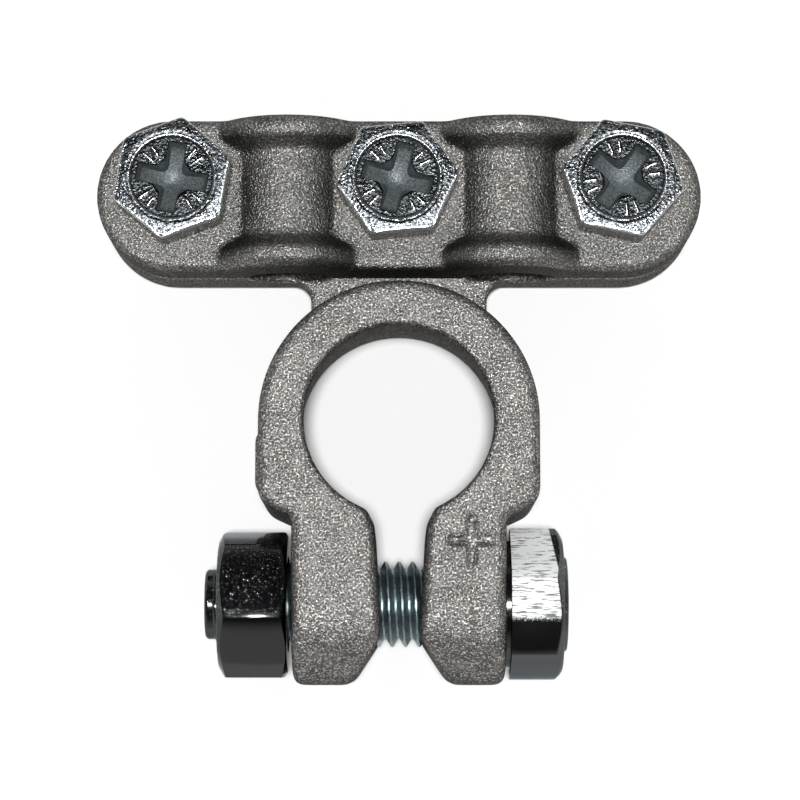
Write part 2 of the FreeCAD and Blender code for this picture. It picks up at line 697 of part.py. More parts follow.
os.makedirs("parts", exist_ok=True)
for piece in pieces:
    piece.Shape.exportStep(os.path.join("parts", f"{piece.Label}.step"))
    box = piece.Shape.BoundBox
    print(f"{piece.Label}: {piece.Shape.Volume:.1f} mm3, "
          f"x {box.XMin:.2f} to {box.XMax:.2f}, y {box.YMin:.2f} to {box.YMax:.2f}, "
          f"z {box.ZMin:.2f} to {box.ZMax:.2f}")
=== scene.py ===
# %% [markdown]
# # A battery terminal clamp, dressed for its picture
#
# The clamp is a grey zinc alloy die casting with a split ring for the battery's post, a cast plate
# that presses two cables onto a bar, three bright zinc plated screws with hexagon heads, and a
# pinch bolt with its nut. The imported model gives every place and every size. This file gives the
# surfaces: the soft edges of a casting, the threads, the cross recesses and the four finishes.
#
# Lengths are written in millimetres, as on a drawing, and become metres where a mesh is made.

# %% Frame and tools
import math

import bmesh
import bpy
import numpy as np
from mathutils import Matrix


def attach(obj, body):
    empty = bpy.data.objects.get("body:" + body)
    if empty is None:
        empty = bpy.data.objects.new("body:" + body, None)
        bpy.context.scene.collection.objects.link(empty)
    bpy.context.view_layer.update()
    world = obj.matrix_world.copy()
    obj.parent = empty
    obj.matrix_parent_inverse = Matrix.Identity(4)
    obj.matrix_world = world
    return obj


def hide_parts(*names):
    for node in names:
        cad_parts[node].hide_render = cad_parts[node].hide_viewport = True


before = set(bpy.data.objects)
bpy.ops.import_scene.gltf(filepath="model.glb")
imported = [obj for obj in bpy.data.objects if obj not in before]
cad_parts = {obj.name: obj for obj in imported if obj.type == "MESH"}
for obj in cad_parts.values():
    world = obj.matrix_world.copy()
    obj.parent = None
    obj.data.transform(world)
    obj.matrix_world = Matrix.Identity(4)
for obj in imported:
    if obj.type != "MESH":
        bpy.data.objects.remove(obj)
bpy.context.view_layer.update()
MM = 0.001
TURN = 2 * math.pi


# %% [markdown]
# ## From a grid to a mesh
#
# A turned or forged part is a stack of rings: each ring is a closed curve round the axis, and the
# next ring lies a little further along. A table of rings, rows by columns, is therefore the whole
# shape. One row of numbers per ring keeps the formula readable, and the faces follow from the
# table's order alone. Rings could also be made with a Screw modifier, but a hexagon that grows out
# of a circle, or a cross sunk in a disc, is easier as a radius for each angle.

# %% Rings to mesh
# Points nearer to each other than the weld are made one, and faces thinner than a sliver go.
WELD = 0.0005
SLIVER = 0.0001


def round_angles(columns):
    """Angles of one full turn in even steps, as a row."""
    return np.linspace(0, TURN, columns, endpoint=False)[None, :]


def ring_faces(rows, columns):
    """Corner numbers of the quads between each row and the next, with the last column joined to
    the first."""
    row, column = np.meshgrid(np.arange(rows - 1), np.arange(columns), indexing="ij")
    after = (column + 1) % columns
    corners = (row * columns + column, row * columns + after,
               (row + 1) * columns + after, (row + 1) * columns + column)
    return np.stack(corners, axis=-1).reshape(-1, 4)


def ring_points(angle, radii, heights):
    """Points of a stack of rings: radius times cosine, radius times sine, and height."""
    radii, heights = np.broadcast_arrays(radii, heights)
    return np.stack([radii * np.cos(angle), radii * np.sin(angle), heights], axis=-1)


def stacked(angle, rows):
    """Points of rings given as (radius, height) pairs. Each of the two is one number, a value for
    every angle, or a block of several rings."""
    rings = [np.broadcast_arrays(radius, height, angle)[:2] for radius, height in rows]
    radii, heights = (np.concatenate(part) for part in zip(*rings))
    return ring_points(angle, radii, heights)


def joined_mesh(name, stacks):
    """One closed mesh from several stacks of (points, finish number of each row of faces)."""
    points, faces, finishes, start = [], [], [], 0
    for stack, row_finish in stacks:
        rows, columns = stack.shape[:2]
        points.append(stack.reshape(-1, 3))
        faces.append(ring_faces(rows, columns) + start)
        finishes.append(np.repeat(np.broadcast_to(row_finish, rows - 1), columns))
        start += rows * columns
    mesh = bpy.data.meshes.new(name)
    mesh.from_pydata(np.concatenate(points) * MM, [], np.concatenate(faces).tolist())
    mesh.polygons.foreach_set("material_index", np.concatenate(finishes).astype(np.int32))
    work = bmesh.new()
    work.from_mesh(mesh)
    bmesh.ops.remove_doubles(work, verts=work.verts, dist=WELD * MM)
    bmesh.ops.dissolve_degenerate(work, dist=SLIVER * MM, edges=work.edges)
    bmesh.ops.recalc_face_normals(work, faces=work.faces)
    work.to_mesh(mesh)
    work.free()
    return mesh


def show(mesh, body, node, finishes, sharp):
    """Puts a mesh into the scene in place of a node, on the node's body, with its finishes. Edges
    that turn by more than the sharp angle in degrees stay sharp, and zero leaves all soft."""
    mesh.shade_smooth()
    if sharp:
        mesh.set_sharp_from_angle(angle=math.radians(sharp))
    for finish in finishes:
        mesh.materials.append(finish)
    piece = bpy.data.objects.new(mesh.name, mesh)
    bpy.context.scene.collection.objects.link(piece)
    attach(piece, body)
    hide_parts(node)
    mesh.calc_loop_triangles()
    print(f"{piece.name}: {len(mesh.loop_triangles)} triangles")
    return piece


# %% [markdown]
# ## Nodes and colours
#
# A finish is a small network of nodes. Written out one by one they fill pages, so one function adds
# a node, sets it and links it. Colours are noted as sRGB hex codes, as a colour picker shows them,
# and Blender calculates in linear light, so one function turns them. Sockets of one name, like the
# two colours of a Mix node, are called by number: its colours are 6 and 7, and its output is 2.

# %% Nodes and colours
def linear(code):
    """Linear colour of an sRGB hex code: the low end over 12.92, the rest by a power of 2.4."""
    values = np.array([int(code[i:i + 2], 16) / 255 for i in (1, 3, 5)])
    low, high = values / 12.92, ((values + 0.055) / 1.055) ** 2.4
    return (*np.where(values <= 0.04045, low, high).tolist(), 1.0)


def add(tree, kind, settings=None, **inputs):
    """A node with its settings, and its inputs set to a value or linked to another's output. An
    input is named with an underscore for each space, or by an underscore and its number."""
    made = tree.nodes.new(kind)
    for name, value in (settings or {}).items():
        setattr(made, name, value)
    for name, value in inputs.items():
        number = name[1:]
        socket = made.inputs[int(number) if number.isdigit() else name.replace("_", " ")]
        if isinstance(value, bpy.types.NodeSocket):
            tree.links.new(value, socket)
        else:
            socket.default_value = value
    return made


def new_finish(name):
    """An empty material with only its output node."""
    finish = bpy.data.materials.new(name)
    finish.use_nodes = True
    finish.node_tree.nodes.clear()
    return finish, finish.node_tree


def per_mm(size):
    """Noise scale, in cells a metre, that gives one cell each size in millimetres."""
    return 1 / (size * MM)


# %% [markdown]
# ## Cast zinc alloy
#
# The ring, the bar and the plate are pressure die cast in a zinc alloy. The skin is a warm grey
# metal with a fine crystalline grain: thousands of small facets, each tilted its own way, so that
# some flash white and some stay dark. Tumbling makes the ring and the bar lighter than the plate,
# which is left as cast. Three noises make the grain. The finest, a fifth of a millimetre, tilts the
# surface and changes its gloss, and its colour carries painted light: painted glints take its
# brightest grains towards white and painted shade its darkest towards black, because tilt alone
# would be smoothed away at this size. A softer one of one to two millimetres gives the uneven tone
# of handled bare metal, and one of seven millimetres adds dull stains. The real grain is finer
# still in places, and is drawn at this size so that it shows in the picture.
#
# Seen from above, the walls of the clamp are nearly black, and seen square on they are grey. Rough
# cast metal shades itself at a grazing angle, and a dark specular tint does that here, because it
# sets what a metal gives back towards its edge.

# %% Cast zinc alloy
GRAIN = 0.2
MOTTLE = 1.6
STAIN = 7.0


def cast_finish(name, dark, light, painted_glints):
    """Grainy metal between two greys, with painted glints and painted shade on single grains. The
    glints are how far its brightest grains are painted towards white.
    """
    finish, tree = new_finish(name)
    spot = add(tree, "ShaderNodeTexCoord").outputs["Object"]
    grain = add(tree, "ShaderNodeTexNoise", Vector=spot, Scale=per_mm(GRAIN),
                Detail=2.0, Roughness=0.65)
    mottle = add(tree, "ShaderNodeTexNoise", Vector=spot, Scale=per_mm(MOTTLE),
                 Detail=3.0, Roughness=0.6)
    patch = add(tree, "ShaderNodeTexNoise", Vector=spot, Scale=per_mm(STAIN),
                Detail=2.0, Roughness=0.5)
    tone = add(tree, "ShaderNodeMapRange", Value=mottle.outputs["Fac"], From_Min=0.35,
               From_Max=0.65, To_Min=0.0, To_Max=1.0)
    ground = add(tree, "ShaderNodeMix", {"data_type": "RGBA"}, Factor=tone.outputs["Result"],
                 _6=linear(dark), _7=linear(light))
    stain = add(tree, "ShaderNodeMapRange", Value=patch.outputs["Fac"], From_Min=0.55,
                From_Max=0.75, To_Min=0.0, To_Max=0.35)
    pit_shade = add(tree, "ShaderNodeMix", {"data_type": "RGBA"}, Factor=stain.outputs["Result"],
                 _6=ground.outputs[2], _7=linear("#62605c"))
    # Painted glints: the brightest grains are painted towards white, in place of facets that catch
    # the lamp.
    painted_glint = add(tree, "ShaderNodeMapRange", Value=grain.outputs["Fac"], From_Min=0.52,
                From_Max=0.64, To_Min=0.0, To_Max=painted_glints)
    glinted = add(tree, "ShaderNodeMix", {"data_type": "RGBA"}, Factor=painted_glint.outputs["Result"],
              _6=pit_shade.outputs[2], _7=linear("#e2dfda"))
    # Painted shade: the darkest grains are painted towards black.
    painted_grain_shade = add(tree, "ShaderNodeMapRange", Value=grain.outputs["Fac"], From_Min=0.49,
                From_Max=0.36, To_Min=0.0, To_Max=0.45)
    grainy = add(tree, "ShaderNodeMix", {"data_type": "RGBA"}, Factor=painted_grain_shade.outputs["Result"],
                 _6=glinted.outputs[2], _7=linear("#4c4a47"))
    gloss = add(tree, "ShaderNodeMapRange", Value=grain.outputs["Fac"], From_Min=0.35,
                From_Max=0.65, To_Min=0.5, To_Max=0.34)
    coarse = add(tree, "ShaderNodeBump", Strength=0.5, Distance=0.15 * MM,
                 Height=mottle.outputs["Fac"])
    fine = add(tree, "ShaderNodeBump", Strength=1.0, Distance=0.12 * MM,
               Height=grain.outputs["Fac"], Normal=coarse.outputs["Normal"])
    surface = add(tree, "ShaderNodeBsdfPrincipled", Base_Color=grainy.outputs[2], Metallic=1.0,
                  Roughness=gloss.outputs["Result"], Normal=fine.outputs["Normal"],
                  Specular_Tint=linear("#2c2b2a"))
    add(tree, "ShaderNodeOutputMaterial", Surface=surface.outputs["BSDF"])
    return finish


# The tumbled ring and bar are lighter and have more painted glints. The plate is darker and has
# fewer painted glints.
tumbled_zinc = cast_finish("cast_zinc_alloy_tumbled", "#646361", "#7f7d7b", 0.7)
dull_zinc = cast_finish("cast_zinc_alloy_as_cast", "#60605d", "#747371", 0.45)

# %% [markdown]
# ## Bright zinc plating
#
# The screws and the bolt are cold forged steel with a bright zinc coat. Forging leaves the heads
# slightly pitted and the thin coat keeps every pit shiny, so a head sparkles between white and
# almost black. The pits are a quarter of a millimetre wide, coarser than real ones. They tilt the
# surface, and their bottoms are also painted darker: painted shade that keeps the dark part of the
# sparkle. A point attribute adds painted light: above zero a painted highlight on ribs and edges,
# and below zero painted shade in grooves and hollows. The cross recess, burnished by the punch, is
# duller and only half metallic. The rolled thread is smooth and slightly blue green.

# %% Bright zinc plating
PITS = 0.24
HAZE = 2.5


def plated_finish(name, code, pit_shade, rough, pits, height, metal=1.0):
    """Plating in two tones, clean and with painted shade in the pits, with pits of a width and a
    height in millimetres. The point attribute paints a highlight above zero and shade below."""
    finish, tree = new_finish(name)
    spot = add(tree, "ShaderNodeTexCoord").outputs["Object"]
    pit = add(tree, "ShaderNodeTexNoise", Vector=spot, Scale=per_mm(pits),
              Detail=2.0, Roughness=0.55)
    haze = add(tree, "ShaderNodeTexNoise", Vector=spot, Scale=per_mm(HAZE), Detail=2.0)
    gloss = add(tree, "ShaderNodeMapRange", Value=haze.outputs["Fac"], From_Min=0.35, From_Max=0.65,
                To_Min=rough * 0.8, To_Max=rough * 1.3)
    # Painted shade: the bottoms of the pits are painted darker.
    painted_shade = add(tree, "ShaderNodeMapRange", Value=pit.outputs["Fac"], From_Min=0.4, From_Max=0.62,
               To_Min=1.0, To_Max=0.0)
    ground = add(tree, "ShaderNodeMix", {"data_type": "RGBA"}, Factor=painted_shade.outputs["Result"],
                 _6=linear(code), _7=linear(pit_shade))
    # The point attribute paints a highlight above zero and shade below zero.
    painted_light = add(tree, "ShaderNodeAttribute", {"attribute_name": "painted_light"})
    highlighted = add(tree, "ShaderNodeMix", {"data_type": "RGBA"}, Factor=painted_light.outputs["Fac"],
                 _6=ground.outputs[2], _7=linear("#f2f4f5"))
    shade_share = add(tree, "ShaderNodeMath", {"operation": "MULTIPLY"}, _0=painted_light.outputs["Fac"], _1=-1.0)
    tint = add(tree, "ShaderNodeMix", {"data_type": "RGBA"}, Factor=shade_share.outputs["Value"],
               _6=highlighted.outputs[2], _7=linear("#17191a"))
    relief = add(tree, "ShaderNodeBump", Strength=0.8, Distance=height * MM,
                 Height=pit.outputs["Fac"])
    surface = add(tree, "ShaderNodeBsdfPrincipled", Base_Color=tint.outputs[2], Metallic=metal,
                  Roughness=gloss.outputs["Result"], Normal=relief.outputs["Normal"])
    add(tree, "ShaderNodeOutputMaterial", Surface=surface.outputs["BSDF"])
    return finish


# A forged face sparkles between grey and near black, its pits painted in shade. The punched recess
# is duller and half metal, and the rolled thread is even.
forged_face = plated_finish("zinc_plated_steel_forged", "#666a6d", "#242628",
                            rough=0.22, pits=PITS, height=0.06)
punched_recess = plated_finish("zinc_plated_steel_punched", "#858d90", "#5b6366",
                               rough=0.42, pits=0.16, height=0.05, metal=0.5)
rolled_thread = plated_finish("zinc_plated_steel_rolled", "#8f9b9e", "#78858a",
                              rough=0.38, pits=0.2, height=0.03)

# %% [markdown]
# ## Hexagons with a painted reflection
#
# The pinch bolt's head and its nut are smooth and glossy. They mirror the dim room overhead and
# look almost black, with small light flecks painted on their upper part as painted glints. The
# upper sides of the bolt's head carry a painted reflection of the lamp: a dull, nearly white patch,
# crossed by painted dark streaks that run along the bolt. The patch has no outline of its own on a
# mesh, so
# it is placed by object coordinates: it begins at a height along Y with a ragged edge, ends at a
# slanting line near the outer corner, and stays off the end faces, whose normals point along X. The
# nut's patch begins so high that only its upper edge is touched.

# %% Hexagons with a painted reflection
STREAK = 0.16
SPECK = 0.14
SLANT = 0.165
REFLECTION_END = 12.3
RAGGED = 0.9
GLINTS_FROM = -18.05
STREAKS_FROM, STREAKS_FULL = -12.5, -14.0


def painted_reflection_share(tree, place, speck, height, reflection_from, reflection_to):
    """Share of the painted reflection from zero to one: it rises between two heights along Y, which
    the specks make ragged, ends where X plus the slant times Y passes a limit, and stays off the
    end faces."""
    ragged = add(tree, "ShaderNodeMath", {"operation": "MULTIPLY_ADD"}, _0=speck,
                 _1=RAGGED * MM, _2=height)
    patch = add(tree, "ShaderNodeMapRange", Value=ragged.outputs["Value"], From_Min=reflection_from * MM,
                From_Max=reflection_to * MM, To_Min=0.0, To_Max=1.0)
    across = add(tree, "ShaderNodeVectorMath", {"operation": "DOT_PRODUCT"},
                 _0=place.outputs["Object"], _1=(1.0, SLANT, 0.0))
    reach = add(tree, "ShaderNodeMapRange", Value=across.outputs["Value"],
                From_Min=(REFLECTION_END + 0.05) * MM, From_Max=(REFLECTION_END - 0.05) * MM,
                To_Min=0.0, To_Max=1.0)
    held = add(tree, "ShaderNodeMath", {"operation": "MULTIPLY"}, _0=patch.outputs["Result"],
               _1=reach.outputs["Result"])
    facing = add(tree, "ShaderNodeSeparateXYZ", Vector=place.outputs["Normal"])
    end = add(tree, "ShaderNodeMath", {"operation": "ABSOLUTE"}, _0=facing.outputs["X"])
    flank = add(tree, "ShaderNodeMapRange", Value=end.outputs["Value"], From_Min=0.45,
                From_Max=0.25, To_Min=0.0, To_Max=1.0)
    reflection_share = add(tree, "ShaderNodeMath", {"operation": "MULTIPLY"}, _0=held.outputs["Value"],
               _1=flank.outputs["Result"])
    return reflection_share.outputs["Value"]


def painted_reflection_colour(tree, spot, height):
    """Colour of the painted reflection: nearly white, with painted dark streaks along X that thin
    out upwards.
    """
    run = add(tree, "ShaderNodeMapping", Vector=spot, Scale=(0.12, 1, 1))
    line = add(tree, "ShaderNodeTexNoise", Vector=run.outputs["Vector"], Scale=per_mm(STREAK),
               Detail=2.0, Roughness=0.6)
    # Painted dark streaks in the painted reflection, fewer towards the top.
    streak_threshold = add(tree, "ShaderNodeMapRange", Value=height, From_Min=STREAKS_FROM * MM,
                 From_Max=STREAKS_FULL * MM, To_Min=0.56, To_Max=0.52)
    painted_streak = add(tree, "ShaderNodeMapRange", Value=line.outputs["Fac"],
                  From_Min=streak_threshold.outputs["Result"], From_Max=0.61, To_Min=0.0, To_Max=0.9)
    painted_white = add(tree, "ShaderNodeMix", {"data_type": "RGBA"}, Factor=painted_streak.outputs["Result"],
                 _6=linear("#f4f5f6"), _7=linear("#54585b"))
    return painted_white.outputs[2]


def hexagon_with_painted_reflection(name, base, reflection_from, reflection_to):
    """Plated hexagon, glossy and dark, with a painted reflection, a dull nearly white patch,
    between two heights along Y.
    """
    finish, tree = new_finish(name)
    place = add(tree, "ShaderNodeTexCoord")
    spot = place.outputs["Object"]
    height = add(tree, "ShaderNodeSeparateXYZ", Vector=spot).outputs["Y"]
    speck = add(tree, "ShaderNodeTexNoise", Vector=spot, Scale=per_mm(SPECK),
                Detail=1.0).outputs["Fac"]
    reflection_share = painted_reflection_share(tree, place, speck, height, reflection_from, reflection_to)
    # Painted glints: light flecks on the upper part only.
    glint_share = add(tree, "ShaderNodeMapRange", Value=speck, From_Min=0.64, From_Max=0.72,
               To_Min=0.0, To_Max=1.0)
    upper = add(tree, "ShaderNodeMapRange", Value=height, From_Min=(GLINTS_FROM - 0.25) * MM,
                From_Max=(GLINTS_FROM + 0.25) * MM, To_Min=0.0, To_Max=1.0)
    painted_fleck = add(tree, "ShaderNodeMath", {"operation": "MULTIPLY"}, _0=glint_share.outputs["Result"],
                _1=upper.outputs["Result"])
    dark = add(tree, "ShaderNodeMix", {"data_type": "RGBA"}, Factor=painted_fleck.outputs["Value"],
               _6=linear(base), _7=linear("#b4b9bc"))
    # The painted reflection of the lamp: a nearly white, dull, mostly non-metallic patch.
    tint = add(tree, "ShaderNodeMix", {"data_type": "RGBA"}, Factor=reflection_share, _6=dark.outputs[2],
               _7=painted_reflection_colour(tree, spot, height))
    metal = add(tree, "ShaderNodeMapRange", Value=reflection_share, To_Min=1.0, To_Max=0.15)
    gloss = add(tree, "ShaderNodeMapRange", Value=reflection_share, To_Min=0.12, To_Max=0.45)
    relief = add(tree, "ShaderNodeBump", Strength=0.6, Distance=0.02 * MM,
                 Height=painted_fleck.outputs["Value"])
    surface = add(tree, "ShaderNodeBsdfPrincipled", Base_Color=tint.outputs[2],
                  Metallic=metal.outputs["Result"], Roughness=gloss.outputs["Result"],
                  Normal=relief.outputs["Normal"], Specular_Tint=linear("#c0c3c6"))
    add(tree, "ShaderNodeOutputMaterial", Surface=surface.outputs["BSDF"])
    return finish


# The head's painted reflection covers all of its upper sides. The nut's starts at its upper edge,
# so that the nut stays dark.
bolt_hexagon = hexagon_with_painted_reflection("zinc_plated_steel_head", "#555756", -18.0, -17.4)
nut_hexagon = hexagon_with_painted_reflection("zinc_plated_steel_nut", "#474847", -9.0, -8.0)

# %% [markdown]
# ## Castings with soft edges
#
# A die casting has no sharp edge: metal can't fill one, and tumbling wears the rest. The packed
# solids have the true forms with plain bevels. A Bevel modifier would stumble over their thin
# triangles, so a copy is rebuilt from even cells about a quarter of a millimetre wide, and each
# point is then drawn towards the mean of its neighbours a few times. Flats stay flat, and every
# edge gets the small radius of a mould.

# %% Castings
CELL = 0.26
RELAX_ROUNDS = 5
NODE_WELD = 0.001


def even_cells(node, cell):
    """Points in millimetres and quads of a copy of the node, rebuilt from even cells."""
    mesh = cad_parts[node].data.copy()
    work = bmesh.new()
    work.from_mesh(mesh)
    bmesh.ops.remove_doubles(work, verts=work.verts, dist=NODE_WELD * MM)
    bmesh.ops.scale(work, vec=(1 / MM, 1 / MM, 1 / MM), verts=work.verts)
    work.to_mesh(mesh)
    work.free()
    block = bpy.data.objects.new("block", mesh)
    bpy.context.scene.collection.objects.link(block)
    remesh = block.modifiers.new("even_cells", "REMESH")
    remesh.mode = "VOXEL"
    remesh.voxel_size = cell
    seen = block.evaluated_get(bpy.context.evaluated_depsgraph_get())
    rebuilt = bpy.data.meshes.new_from_object(seen)
    bpy.data.objects.remove(block)
    return rebuilt


def mesh_points(mesh):
    """Places of a mesh's points, as a table with one row for each."""
    points = np.empty(len(mesh.vertices) * 3)
    mesh.vertices.foreach_get("co", points)
    return points.reshape(-1, 3)


def relaxed(mesh, rounds, pull=0.5):
    """Points after each has gone a part of the way to its neighbours' mean, several times."""
    points = mesh_points(mesh)
    edges = np.empty(len(mesh.edges) * 2, dtype=np.int32)
    mesh.edges.foreach_get("vertices", edges)
    edges = edges.reshape(-1, 2)
    ends, others = np.concatenate([edges, edges[:, ::-1]]).T
    count = np.bincount(ends, minlength=len(points))[:, None]
    for _ in range(rounds):
        sums = [np.bincount(ends, weights=points[others, axis], minlength=len(points))
                for axis in range(3)]
        points = points + pull * (np.stack(sums, axis=-1) / count - points)
    return points


def sunk_plus(points, centre, arm, width, depth):
    """How far a plain plus sign is sunk at each point: full depth within half the width of either
    arm's line and short of the arm's end, fading out over a quarter of a millimetre."""
    x, y = np.abs(points[:, 0] - centre[0]), np.abs(points[:, 1] - centre[1])
    fade = 0.25

    def inside(value, limit):
        return np.clip((limit - value) / fade + 0.5, 0, 1)

    across = np.minimum(inside(x, arm), inside(y, width / 2))
    along = np.minimum(inside(y, arm), inside(x, width / 2))
    return depth * np.maximum(across, along)


def casting_piece(name, body, node, finish, mark=None):
    """Shows a soft copy of a casting's node, with a mark sunk into its highest face if given."""
    mesh = even_cells(node, CELL)
    points = relaxed(mesh, RELAX_ROUNDS)
    if mark:
        top = points[:, 2].max()
        near_top = points[:, 2] > top - 0.5
        points[:, 2] -= np.where(near_top, sunk_plus(points, **mark), 0.0)
    mesh.vertices.foreach_set("co", (points * MM).ravel())
    mesh.name = name
    mesh.materials.clear()
    return show(mesh, body, node, [finish], sharp=0)


plus_mark = {"centre": (6.65, -11.1), "arm": 2.2, "width": 0.8, "depth": 0.36}
casting_piece("casting_soft", "casting", "terminal_casting", tumbled_zinc, plus_mark)
casting_piece("plate_soft", "plate", "cable_clamp_plate", dull_zinc)

# %% [markdown]
# ## Hexagons and crosses as radii
#
# Seen from above, a hexagon's side is a straight line, so its distance from the centre is half the
# width across flats over the cosine of the angle to the side's middle. Forged corners are a little
# round. A soft minimum with a circle gives that: it follows whichever value is smaller and blends
# where they are close. The cross recess is made the same way from its wings' reach, their width
# and a core. Every hexagon is bevelled by thirty degrees, and edges that turn by more than forty
# are shaded sharp.

# %% Outlines
SHARP_ANGLE = 40
BEVEL_FALL = math.tan(math.radians(30))


def soft_min(a, b, blend):
    """The smaller of two values, blended by a parabola where they differ by less than blend."""
    mix = np.clip(0.5 + 0.5 * (b - a) / blend, 0, 1)
    return b + (a - b) * mix - blend * mix * (1 - mix)


def bell(distance, width):
    """One at no distance, and falling off on both sides: e to the power of minus the square of
    distance over width."""
    return np.exp(-(distance / width) ** 2)


def hexagon(angle, flats, turn, rounding):
    """Radius of a hexagon with a corner at turn and corners cut back softly by the rounding."""
    off = (angle - turn) % (TURN / 6) - TURN / 12
    side = flats / 2 / np.cos(off)
    return soft_min(side, flats / 2 / math.cos(TURN / 12) - rounding, 2 * rounding)


def cross(angle, turn, reach, half_width, core):
    """Radius of a cross: the wing's reach near its line, else half its width over the sine of the
    angle from that line, and never less than the core."""
    off = np.abs((angle - turn + TURN / 8) % (TURN / 4) - TURN / 8)
    side = half_width / np.maximum(np.sin(off), 0.001)
    wing = soft_min(reach / np.cos(off), side, 0.3)
    return -soft_min(-wing, -core, 0.4)


def steps(first, last, count):
    """Evenly spaced column of values, one for each ring."""
    return np.linspace(first, last, count)[:, None]


def between(inner, outer, count):
    """Rings that go evenly from one outline to another, without the first."""
    share = steps(0, 1, count + 1)[1:]
    return inner + (outer - inner) * share


def corner_turn(node, centre, axes):
    """Angle of a hexagon's corner, from the node's points that lie furthest from the axis."""
    points = mesh_points(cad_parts[node].data)
    flat = points[:, axes] / MM - np.array(centre)
    radius = np.hypot(flat[:, 0], flat[:, 1])
    far = flat[radius > radius.max() - 0.01]
    return np.angle(np.mean(np.exp(6j * np.arctan2(far[:, 1], far[:, 0])))) / 6


# %% [markdown]
# ## A rolled thread
#
# A thread is a ridge wound round the shank. At each point the ridge's phase is how many pitches the
# point lies along the axis, less its angle as a share of a full turn. A triangle wave of that phase
# gives the sharp V of a metric thread, cut flat at crest and root for a sixth of the pitch. The
# ridge fades out at both ends, as rolling dies leave it. The bolt's free end is a short plain point
# as thick as the thread's root, which finds its way into the nut.

# %% Threads
def thread_rings(crest, depth, pitch, start, end, point, fades, columns, per_turn):
    """Stack of rings from start to end along the axis, with a right-hand V thread after a point
    that stays plain. A triangle wave times 1.5 less 0.25, held from 0 to 1, has the two flats."""
    rows = int(round((end - start) / pitch * per_turn)) + 1
    angle = round_angles(columns)
    height = steps(start, end, rows)
    phase = (height / pitch - angle / TURN) % 1.0
    wave = np.clip(np.abs(2 * phase - 1) * 1.5 - 0.25, 0, 1)
    ends = np.clip(np.minimum((height - start - point) / fades[0], (end - height) / fades[1]), 0, 1)
    bevel = np.clip(0.2 - (height - start), 0, 1)
    radius = crest - depth * (1 - wave * ends) - bevel
    return stacked(angle, [(0, start), (radius, height), (0, end)])


# %% [markdown]
# ## Cable screws
#
# Each screw is M6 with a hexagon head 10 mm across flats. A shallow dish in the top carries a cross
# recess with a pair of thin ribs between its wings. The head is one stack of rings: over the recess
# floor, up its walls, across the dish with the ribs, over the rim, out to the hexagon and down the
# sides. The thread is a second closed stack that starts inside the head.

# %% Cable screws
HEAD_FLATS = 10.0
HEAD_HEIGHT = 4.2
HEAD_ROUNDING = 0.07
SEAT = 10.8
TOP = SEAT + HEAD_HEIGHT
DISH_RADIUS = 3.72
DISH_DEPTH = 0.2
LIP_WIDTH = 0.6
FACE_RADIUS = 5.45
FACE_FALL = math.tan(math.radians(4))
RECESS_DEPTH = 2.2
FLOOR_RISE, FLOOR_REACH = 1.1, 3.0
HEAD_COLUMNS = 480
RIB = 0.05
RIB_WIDTH = 0.1
RIB_START, RIB_END = 2.3, 3.55
RIB_TURNS = (-2, 15)
FACE, RECESS, THREAD = 0, 1, 2


def ribs(angle, radius, turn):
    """Height of the thin ribs: a bell across each rib's line, between two radii. Two lines lie in
    each quarter, a few degrees aside of its middle."""
    height = 0 * angle * radius
    span = np.clip((radius - RIB_START) / 0.2, 0, 1) * np.clip((RIB_END - radius) / 0.15, 0, 1)
    for quarter in range(4):
        for aside in RIB_TURNS:
            line = turn + TURN * (quarter + 0.5) / 4 + math.radians(aside)
            away = radius * np.sin(angle - line)
            ahead = np.cos(angle - line) > 0
            height = height + RIB * bell(away, RIB_WIDTH) * span * ahead
    return height


def screw_head(corner, turn):
    """Rings of a screw head, and the finish number of each row of faces. The recess floor is
    lowest in the middle and rises with the radius to the power of one and a half."""
    angle = round_angles(HEAD_COLUMNS)
    floor = cross(angle, turn, reach=2.95, half_width=0.62, core=1.1)
    brim = cross(angle, turn, reach=3.3, half_width=0.86, core=1.75)
    side = hexagon(angle, HEAD_FLATS, corner, HEAD_ROUNDING)
    dish = TOP - DISH_DEPTH

    bottom = between(0 * angle, floor, 10)
    sunk = TOP - RECESS_DEPTH + FLOOR_RISE * (bottom / FLOOR_REACH) ** 1.5
    foot = sunk[-1:]
    wall = between(floor, brim, 6)
    rise = foot + (dish - 0.06 - foot) * steps(0, 1, 7)[1:]
    flat = between(brim + 0.04, DISH_RADIUS, 18)
    rows = [(0, TOP - RECESS_DEPTH), (bottom, sunk), (wall, rise)]
    rows.append((flat, dish + ribs(angle, flat, turn)))

    lip = ((0.14, 0.08), (0.24, 0.03), (0.34, 0.02), (0.42, 0.04), (0.5, 0.02), (LIP_WIDTH, 0.01))
    rows += [(DISH_RADIUS + out, TOP - drop) for out, drop in lip]
    edge = between(DISH_RADIUS + LIP_WIDTH, side - 0.14, 8)
    slope = TOP - (edge - DISH_RADIUS - LIP_WIDTH) * FACE_FALL
    slope = slope - np.maximum(edge - FACE_RADIUS, 0) * BEVEL_FALL
    rows.append((edge, slope))

    brink = slope[-1:]
    upper = ((0.05, 0.02), (0.01, 0.07), (0, 0.15))
    rows += [(side - inside, brink - below) for inside, below in upper]
    lower = ((0, 2.2), (0, 0.2), (0.05, 0.06), (0.15, 0))
    rows += [(side - inside, SEAT + above) for inside, above in lower]
    rows += [(2.0, SEAT), (0, SEAT)]
    head = stacked(angle, rows)
    return head, np.where(np.arange(len(head) - 1) < len(bottom) + len(wall), RECESS, FACE)
